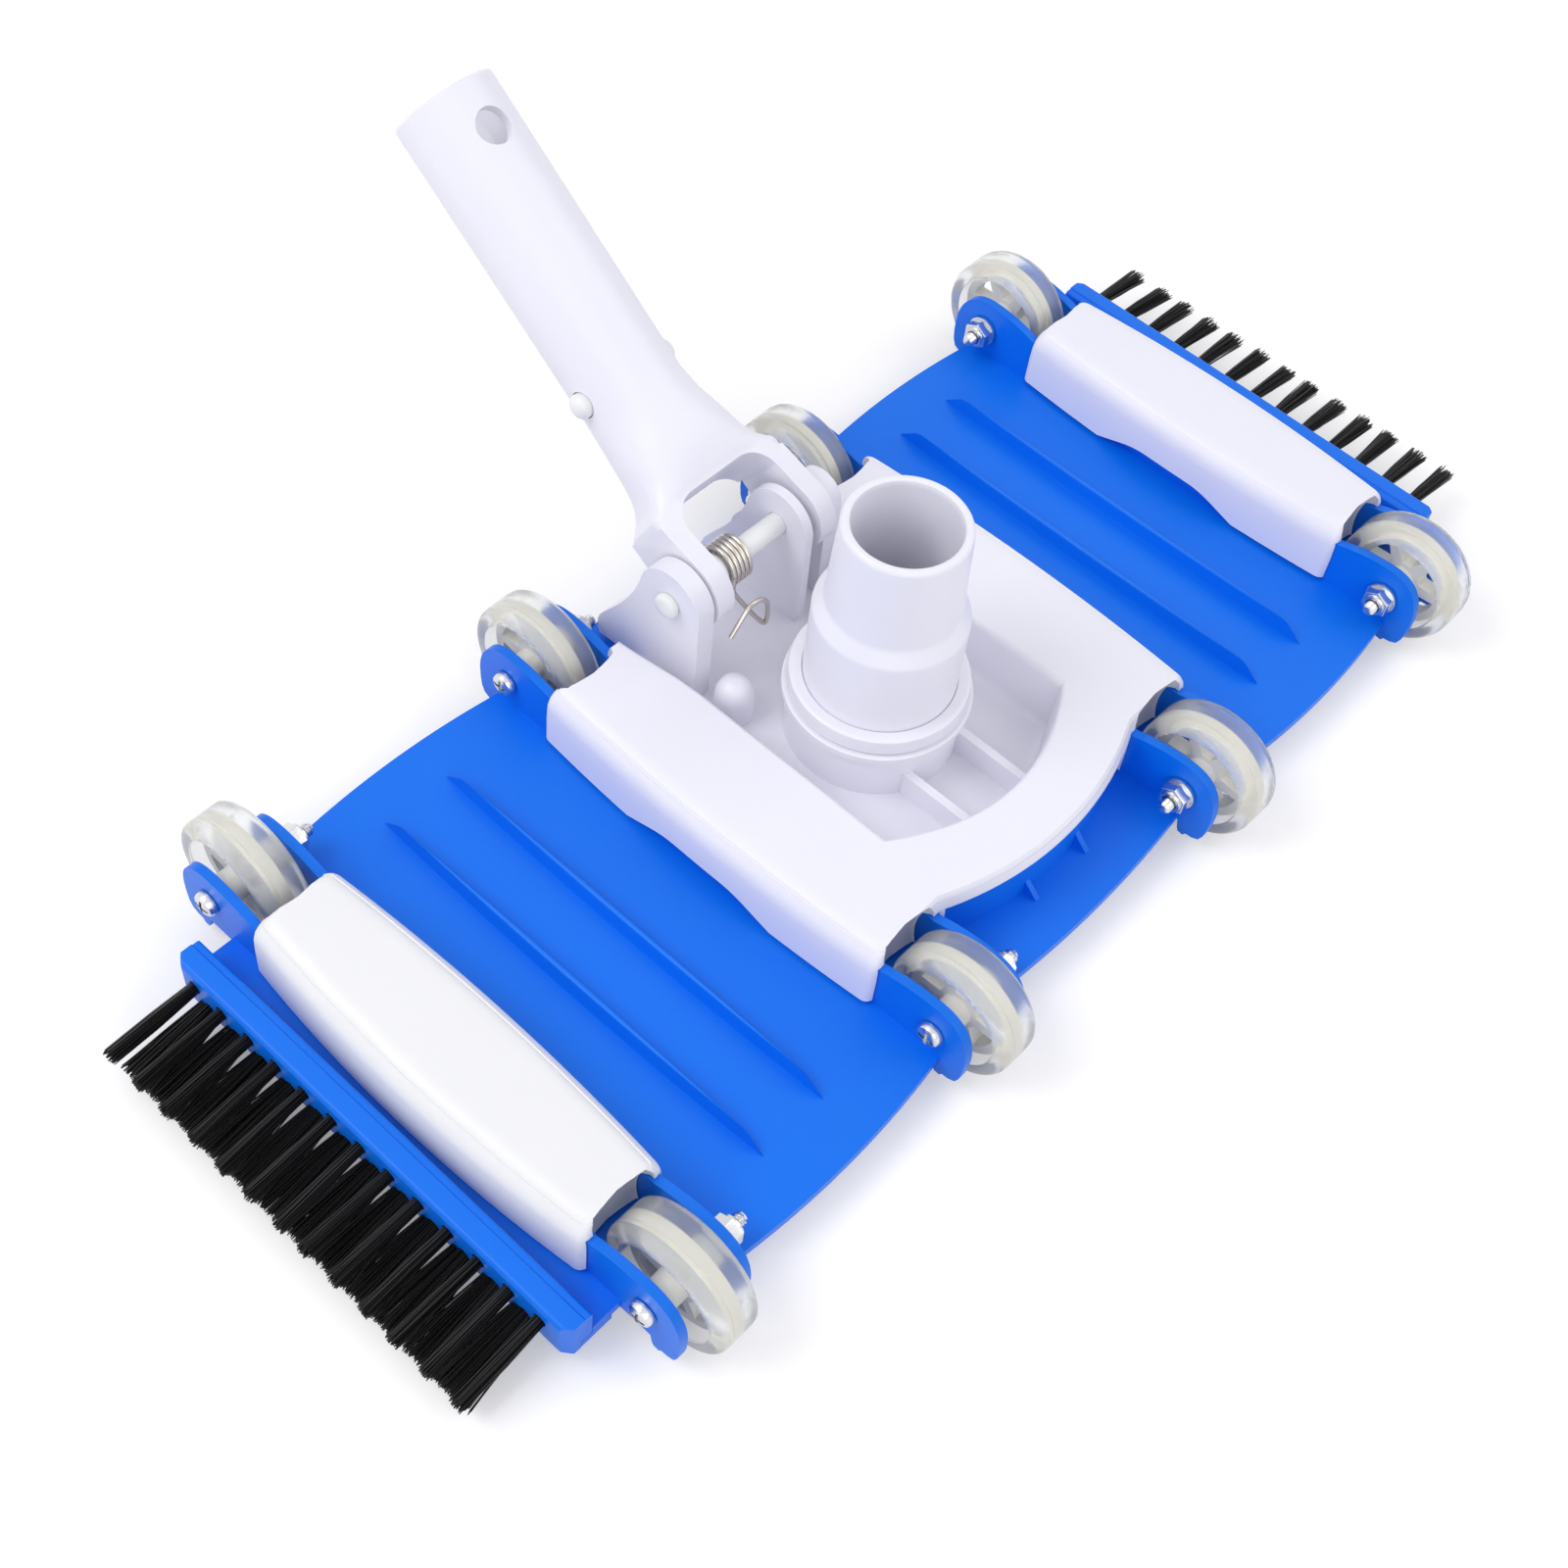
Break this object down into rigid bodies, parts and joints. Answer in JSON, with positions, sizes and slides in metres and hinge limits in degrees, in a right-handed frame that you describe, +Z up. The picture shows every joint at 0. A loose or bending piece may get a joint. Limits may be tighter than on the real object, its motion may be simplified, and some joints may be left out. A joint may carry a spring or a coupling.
{
  "type": "manual pool vacuum head",
  "caption": "Manual pool vacuum head: flexible blue base on wheels, white weighted covers, side brushes, swivel hose connector and a sprung, tilting pole handle.",
  "frame": {"origin": "on the floor under the middle of the outline", "axes": "+X along the head from brush to brush, +Y towards the handle's open end, +Z up"},
  "size_m": [0.4052, 0.2621, 0.1325],
  "materials": {
    "blue_plastic": "moulded, semi-gloss, flexible",
    "white_plastic": "moulded, semi-gloss",
    "nylon": "slightly translucent white",
    "ivory_plastic": "satin",
    "clear_tyre": "soft, translucent grey",
    "steel": "bright stainless",
    "spring_steel": "drawn stainless wire",
    "bristle": "black nylon",
    "ballast": "bare"
  },
  "bodies": {
    "head": {"base_plate": "blue_plastic", "brush_bar_left": "blue_plastic", "brush_bar_right": "blue_plastic", "bristles_left": "bristle", "bristles_right": "bristle", "end_cover_left": "white_plastic", "end_cover_right": "white_plastic", "centre_cover": "white_plastic", "swivel_ring": "nylon", "pivot_pin": "nylon", "torsion_spring": "spring_steel", "ballast_outer_left": "ballast", "ballast_inner_left": "ballast", "ballast_inner_right": "ballast", "ballast_outer_right": "ballast", "axle_screw_front_outer_left": "steel", "axle_screw_front_inner_left": "steel", "axle_screw_front_inner_right": "steel", "axle_screw_front_outer_right": "steel", "axle_screw_back_outer_left": "steel", "axle_screw_back_inner_left": "steel", "axle_screw_back_inner_right": "steel", "axle_screw_back_outer_right": "steel", "axle_nut_front_outer_left": "steel", "axle_nut_front_inner_left": "steel", "axle_nut_front_inner_right": "steel", "axle_nut_front_outer_right": "steel", "axle_nut_back_outer_left": "steel", "axle_nut_back_inner_left": "steel", "axle_nut_back_inner_right": "steel", "axle_nut_back_outer_right": "steel", "cover_screw_front_outer_left": "steel", "cover_screw_front_inner_left": "steel", "cover_screw_front_inner_right": "steel", "cover_screw_front_outer_right": "steel", "cover_screw_back_outer_left": "steel", "cover_screw_back_inner_left": "steel", "cover_screw_back_inner_right": "steel", "cover_screw_back_outer_right": "steel"},
    "wheel_front_outer_left": {"wheel_core_front_outer_left": "ivory_plastic", "wheel_tyre_front_outer_left": "clear_tyre"},
    "wheel_front_inner_left": {"wheel_core_front_inner_left": "ivory_plastic", "wheel_tyre_front_inner_left": "clear_tyre"},
    "wheel_front_inner_right": {"wheel_core_front_inner_right": "ivory_plastic", "wheel_tyre_front_inner_right": "clear_tyre"},
    "wheel_front_outer_right": {"wheel_core_front_outer_right": "ivory_plastic", "wheel_tyre_front_outer_right": "clear_tyre"},
    "wheel_back_outer_left": {"wheel_core_back_outer_left": "ivory_plastic", "wheel_tyre_back_outer_left": "clear_tyre"},
    "wheel_back_inner_left": {"wheel_core_back_inner_left": "ivory_plastic", "wheel_tyre_back_inner_left": "clear_tyre"},
    "wheel_back_inner_right": {"wheel_core_back_inner_right": "ivory_plastic", "wheel_tyre_back_inner_right": "clear_tyre"},
    "wheel_back_outer_right": {"wheel_core_back_outer_right": "ivory_plastic", "wheel_tyre_back_outer_right": "clear_tyre"},
    "hose_swivel": {"hose_connector": "white_plastic"},
    "pole_handle": {"handle": "white_plastic", "clip_spring": "spring_steel"},
    "button_left": {"clip_button_left": "nylon"},
    "button_right": {"clip_button_right": "nylon"}
  },
  "joints": [
    {"name": "wheel_spin_front_outer_left", "type": "hinge", "parent": "head", "child": "wheel_front_outer_left", "pos_m": [-0.149, -0.11268, 0.0185], "axis": [1, 0, 0], "continuous": true},
    {"name": "wheel_spin_front_inner_left", "type": "hinge", "parent": "head", "child": "wheel_front_inner_left", "pos_m": [-0.051, -0.11268, 0.0185], "axis": [1, 0, 0], "continuous": true},
    {"name": "wheel_spin_front_inner_right", "type": "hinge", "parent": "head", "child": "wheel_front_inner_right", "pos_m": [0.051, -0.11268, 0.0185], "axis": [1, 0, 0], "continuous": true},
    {"name": "wheel_spin_front_outer_right", "type": "hinge", "parent": "head", "child": "wheel_front_outer_right", "pos_m": [0.149, -0.11268, 0.0185], "axis": [1, 0, 0], "continuous": true},
    {"name": "wheel_spin_back_outer_left", "type": "hinge", "parent": "head", "child": "wheel_back_outer_left", "pos_m": [-0.149, 0.03532, 0.0185], "axis": [1, 0, 0], "continuous": true},
    {"name": "wheel_spin_back_inner_left", "type": "hinge", "parent": "head", "child": "wheel_back_inner_left", "pos_m": [-0.051, 0.03532, 0.0185], "axis": [1, 0, 0], "continuous": true},
    {"name": "wheel_spin_back_inner_right", "type": "hinge", "parent": "head", "child": "wheel_back_inner_right", "pos_m": [0.051, 0.03532, 0.0185], "axis": [1, 0, 0], "continuous": true},
    {"name": "wheel_spin_back_outer_right", "type": "hinge", "parent": "head", "child": "wheel_back_outer_right", "pos_m": [0.149, 0.03532, 0.0185], "axis": [1, 0, 0], "continuous": true},
    {"name": "hose_connector_swivel", "type": "hinge", "parent": "head", "child": "hose_swivel", "pos_m": [0, -0.03868, 0.024], "axis": [0, 0, 1], "continuous": true},
    {"name": "handle_tilt", "type": "hinge", "parent": "head", "child": "pole_handle", "pos_m": [0, 0.00922, 0.0458], "axis": [1, 0, 0], "range_deg": [-30, 60], "stiffness_Nm_per_rad": 0.15, "springref_deg": 11.46, "deforming": ["torsion_spring"]},
    {"name": "button_press_left", "type": "slide", "parent": "pole_handle", "child": "button_left", "axis": [1, 0, 0], "range_m": [0, 0.0045], "stiffness_N_per_m": 1500, "springref_m": -0.0015, "deforming": ["clip_spring"]},
    {"name": "button_press_right", "type": "slide", "parent": "pole_handle", "child": "button_right", "axis": [-1, 0, 0], "range_m": [0, 0.0045], "stiffness_N_per_m": 1500, "springref_m": -0.0015, "deforming": ["clip_spring"]}
  ]
}
